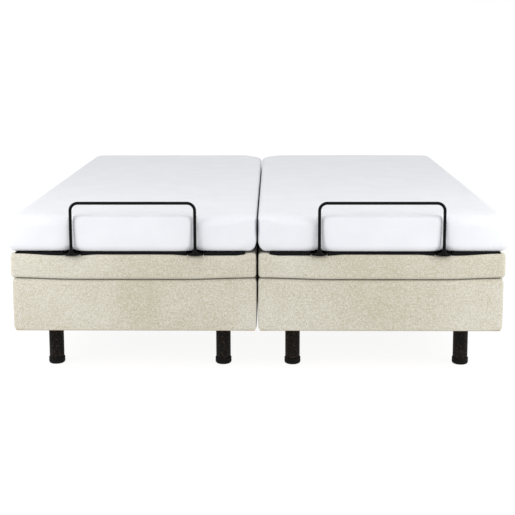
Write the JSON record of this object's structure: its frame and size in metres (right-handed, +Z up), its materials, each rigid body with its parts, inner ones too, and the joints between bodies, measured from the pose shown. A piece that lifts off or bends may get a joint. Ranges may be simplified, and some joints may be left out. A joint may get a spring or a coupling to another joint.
{
  "type": "adjustable bed base",
  "caption": "Split adjustable bed base: twin upholstered units on round legs, with mattresses, foot retainer bars and motorised back and leg lifts.",
  "frame": {"origin": "on the floor, under the middle of the whole object, bar feet included", "axes": "+Y towards the head end, +X to the right seen from the foot end, +Z up"},
  "size_m": [1.976, 2.062, 0.697],
  "materials": {
    "linen": "matte",
    "knit": "matte",
    "board": "matte",
    "frame_steel": "satin",
    "black_steel": "satin",
    "leg_steel": "matte",
    "rubber": "matte",
    "zinc": "satin",
    "nylon": "matte",
    "motor_plastic": "matte",
    "chrome_rod": "polished"
  },
  "bodies": {
    "root": {"left_base_cover": "linen", "left_base_boards": "board", "left_mech_frame": "frame_steel", "left_seat_pad": "linen", "left_mattress_seat": "knit", "right_base_cover": "linen", "right_base_boards": "board", "right_mech_frame": "frame_steel", "right_seat_pad": "linen", "right_mattress_seat": "knit", "legs": "leg_steel", "leg_glides": "rubber", "control_boxes": "motor_plastic", "seat_hinges": "zinc", "pivot_bearings": "nylon", "joining_bolts": "zinc"},
    "right_back": {"right_back_frame": "frame_steel", "right_back_pad": "linen", "right_back_hinges": "zinc", "right_mattress_back": "knit"},
    "right_thigh": {"right_thigh_frame": "frame_steel", "right_thigh_pad": "linen", "right_thigh_hinges": "zinc", "right_mattress_thigh": "knit"},
    "right_calf": {"right_calf_frame": "frame_steel", "right_calf_pad": "linen", "right_mattress_calf": "knit", "right_retainer_bar": "black_steel", "right_retainer_brackets": "black_steel"},
    "right_head_arm": {"right_head_lift_arm": "black_steel"},
    "right_foot_arm": {"right_foot_lift_arm": "black_steel"},
    "right_head_roller": {"right_head_rollers": "nylon"},
    "right_foot_roller": {"right_foot_rollers": "nylon"},
    "right_head_motor": {"right_head_actuator": "motor_plastic"},
    "right_head_push_rod": {"right_head_rod": "chrome_rod"},
    "right_foot_motor": {"right_foot_actuator": "motor_plastic"},
    "right_foot_push_rod": {"right_foot_rod": "chrome_rod"},
    "right_calf_link": {"right_calf_links": "zinc"},
    "left_back": {"left_back_frame": "frame_steel", "left_back_pad": "linen", "left_back_hinges": "zinc", "left_mattress_back": "knit"},
    "left_thigh": {"left_thigh_frame": "frame_steel", "left_thigh_pad": "linen", "left_thigh_hinges": "zinc", "left_mattress_thigh": "knit"},
    "left_calf": {"left_calf_frame": "frame_steel", "left_calf_pad": "linen", "left_mattress_calf": "knit", "left_retainer_bar": "black_steel", "left_retainer_brackets": "black_steel"},
    "left_head_arm": {"left_head_lift_arm": "black_steel"},
    "left_foot_arm": {"left_foot_lift_arm": "black_steel"},
    "left_head_roller": {"left_head_rollers": "nylon"},
    "left_foot_roller": {"left_foot_rollers": "nylon"},
    "left_head_motor": {"left_head_actuator": "motor_plastic"},
    "left_head_push_rod": {"left_head_rod": "chrome_rod"},
    "left_foot_motor": {"left_foot_actuator": "motor_plastic"},
    "left_foot_push_rod": {"left_foot_rod": "chrome_rod"},
    "left_calf_link": {"left_calf_links": "zinc"}
  },
  "joints": [
    {"name": "right_back_tilt", "type": "hinge", "parent": "root", "child": "right_back", "pos_m": [0.486, 0.251, 0.4875], "axis": [1, 0, 0], "range_deg": [0, 60], "deforming": ["right_mattress_back", "right_mattress_seat"]},
    {"name": "right_thigh_tilt", "type": "hinge", "parent": "root", "child": "right_thigh", "pos_m": [0.486, -0.019, 0.4875], "axis": [-1, 0, 0], "range_deg": [0, 35], "deforming": ["right_mattress_thigh"]},
    {"name": "right_calf_hinge", "type": "hinge", "parent": "right_thigh", "child": "right_calf", "pos_m": [0.486, -0.369, 0.3835], "axis": [1, 0, 0], "range_deg": [0, 38.5], "deforming": ["right_mattress_calf"]},
    {"name": "right_head_arm_turn", "type": "hinge", "parent": "root", "child": "right_head_arm", "pos_m": [0.486, 0.36503, 0.29], "axis": [1, 0, 0], "range_deg": [0, 60]},
    {"name": "right_foot_arm_turn", "type": "hinge", "parent": "root", "child": "right_foot_arm", "pos_m": [0.486, -0.08127, 0.29], "axis": [-1, 0, 0], "range_deg": [0, 35]},
    {"name": "right_head_roller_spin", "type": "hinge", "parent": "right_head_arm", "child": "right_head_roller", "pos_m": [0.486, 0.68185, 0.335], "axis": [-1, 0, 0], "range_deg": [0, 700]},
    {"name": "right_foot_roller_spin", "type": "hinge", "parent": "right_foot_arm", "child": "right_foot_roller", "pos_m": [0.486, -0.27614, 0.335], "axis": [1, 0, 0], "range_deg": [0, 370]},
    {"name": "right_head_motor_swing", "type": "hinge", "parent": "root", "child": "right_head_motor", "pos_m": [0.561, -0.04, 0.225], "axis": [1, 0, 0], "range_deg": [0, 3]},
    {"name": "right_foot_motor_swing", "type": "hinge", "parent": "root", "child": "right_foot_motor", "pos_m": [0.411, 0.32, 0.225], "axis": [1, 0, 0], "range_deg": [0, 2]},
    {"name": "right_head_rod_slide", "type": "slide", "parent": "right_head_motor", "child": "right_head_push_rod", "axis": [0, 0.9998, -0.0193], "range_m": [0, 0.075]},
    {"name": "right_foot_rod_slide", "type": "slide", "parent": "right_foot_motor", "child": "right_foot_push_rod", "axis": [0, -1, 0.0001], "range_m": [0, 0.05]},
    {"name": "right_calf_link_swing", "type": "hinge", "parent": "root", "child": "right_calf_link", "pos_m": [0.486, -0.37292, 0.34219], "axis": [-1, 0, 0], "range_deg": [0, 39]},
    {"name": "left_back_tilt", "type": "hinge", "parent": "root", "child": "left_back", "pos_m": [-0.486, 0.251, 0.4875], "axis": [1, 0, 0], "range_deg": [0, 60], "deforming": ["left_mattress_back", "left_mattress_seat"]},
    {"name": "left_thigh_tilt", "type": "hinge", "parent": "root", "child": "left_thigh", "pos_m": [-0.486, -0.019, 0.4875], "axis": [-1, 0, 0], "range_deg": [0, 35], "deforming": ["left_mattress_thigh"]},
    {"name": "left_calf_hinge", "type": "hinge", "parent": "left_thigh", "child": "left_calf", "pos_m": [-0.486, -0.369, 0.3835], "axis": [1, 0, 0], "range_deg": [0, 38.5], "deforming": ["left_mattress_calf"]},
    {"name": "left_head_arm_turn", "type": "hinge", "parent": "root", "child": "left_head_arm", "pos_m": [-0.486, 0.36503, 0.29], "axis": [1, 0, 0], "range_deg": [0, 60]},
    {"name": "left_foot_arm_turn", "type": "hinge", "parent": "root", "child": "left_foot_arm", "pos_m": [-0.486, -0.08127, 0.29], "axis": [-1, 0, 0], "range_deg": [0, 35]},
    {"name": "left_head_roller_spin", "type": "hinge", "parent": "left_head_arm", "child": "left_head_roller", "pos_m": [-0.486, 0.68185, 0.335], "axis": [-1, 0, 0], "range_deg": [0, 700]},
    {"name": "left_foot_roller_spin", "type": "hinge", "parent": "left_foot_arm", "child": "left_foot_roller", "pos_m": [-0.486, -0.27614, 0.335], "axis": [1, 0, 0], "range_deg": [0, 370]},
    {"name": "left_head_motor_swing", "type": "hinge", "parent": "root", "child": "left_head_motor", "pos_m": [-0.561, -0.04, 0.225], "axis": [1, 0, 0], "range_deg": [0, 3]},
    {"name": "left_foot_motor_swing", "type": "hinge", "parent": "root", "child": "left_foot_motor", "pos_m": [-0.411, 0.32, 0.225], "axis": [1, 0, 0], "range_deg": [0, 2]},
    {"name": "left_head_rod_slide", "type": "slide", "parent": "left_head_motor", "child": "left_head_push_rod", "axis": [0, 0.9998, -0.0193], "range_m": [0, 0.075]},
    {"name": "left_foot_rod_slide", "type": "slide", "parent": "left_foot_motor", "child": "left_foot_push_rod", "axis": [0, -1, 0.0001], "range_m": [0, 0.05]},
    {"name": "left_calf_link_swing", "type": "hinge", "parent": "root", "child": "left_calf_link", "pos_m": [-0.486, -0.37292, 0.34219], "axis": [-1, 0, 0], "range_deg": [0, 39]}
  ],
  "couplings": [
    {"joint": "right_calf_hinge", "follows": "right_thigh_tilt", "ratio": 1.1},
    {"joint": "right_head_arm_turn", "follows": "right_back_tilt", "ratio": 1},
    {"joint": "right_foot_arm_turn", "follows": "right_thigh_tilt", "ratio": 1},
    {"joint": "right_head_roller_spin", "follows": "right_back_tilt", "ratio": 11.403},
    {"joint": "right_foot_roller_spin", "follows": "right_thigh_tilt", "ratio": 10.354},
    {"joint": "right_head_motor_swing", "follows": "right_back_tilt", "ratio": 0.04338},
    {"joint": "right_foot_motor_swing", "follows": "right_thigh_tilt", "ratio": 0.03921},
    {"joint": "right_head_rod_slide", "follows": "right_back_tilt", "m_per_rad": 0.069385},
    {"joint": "right_foot_rod_slide", "follows": "right_thigh_tilt", "m_per_rad": 0.072307},
    {"joint": "right_calf_link_swing", "follows": "right_thigh_tilt", "ratio": 1.0915},
    {"joint": "left_calf_hinge", "follows": "left_thigh_tilt", "ratio": 1.1},
    {"joint": "left_head_arm_turn", "follows": "left_back_tilt", "ratio": 1},
    {"joint": "left_foot_arm_turn", "follows": "left_thigh_tilt", "ratio": 1},
    {"joint": "left_head_roller_spin", "follows": "left_back_tilt", "ratio": 11.403},
    {"joint": "left_foot_roller_spin", "follows": "left_thigh_tilt", "ratio": 10.354},
    {"joint": "left_head_motor_swing", "follows": "left_back_tilt", "ratio": 0.04338},
    {"joint": "left_foot_motor_swing", "follows": "left_thigh_tilt", "ratio": 0.03921},
    {"joint": "left_head_rod_slide", "follows": "left_back_tilt", "m_per_rad": 0.069385},
    {"joint": "left_foot_rod_slide", "follows": "left_thigh_tilt", "m_per_rad": 0.072307},
    {"joint": "left_calf_link_swing", "follows": "left_thigh_tilt", "ratio": 1.0915}
  ]
}
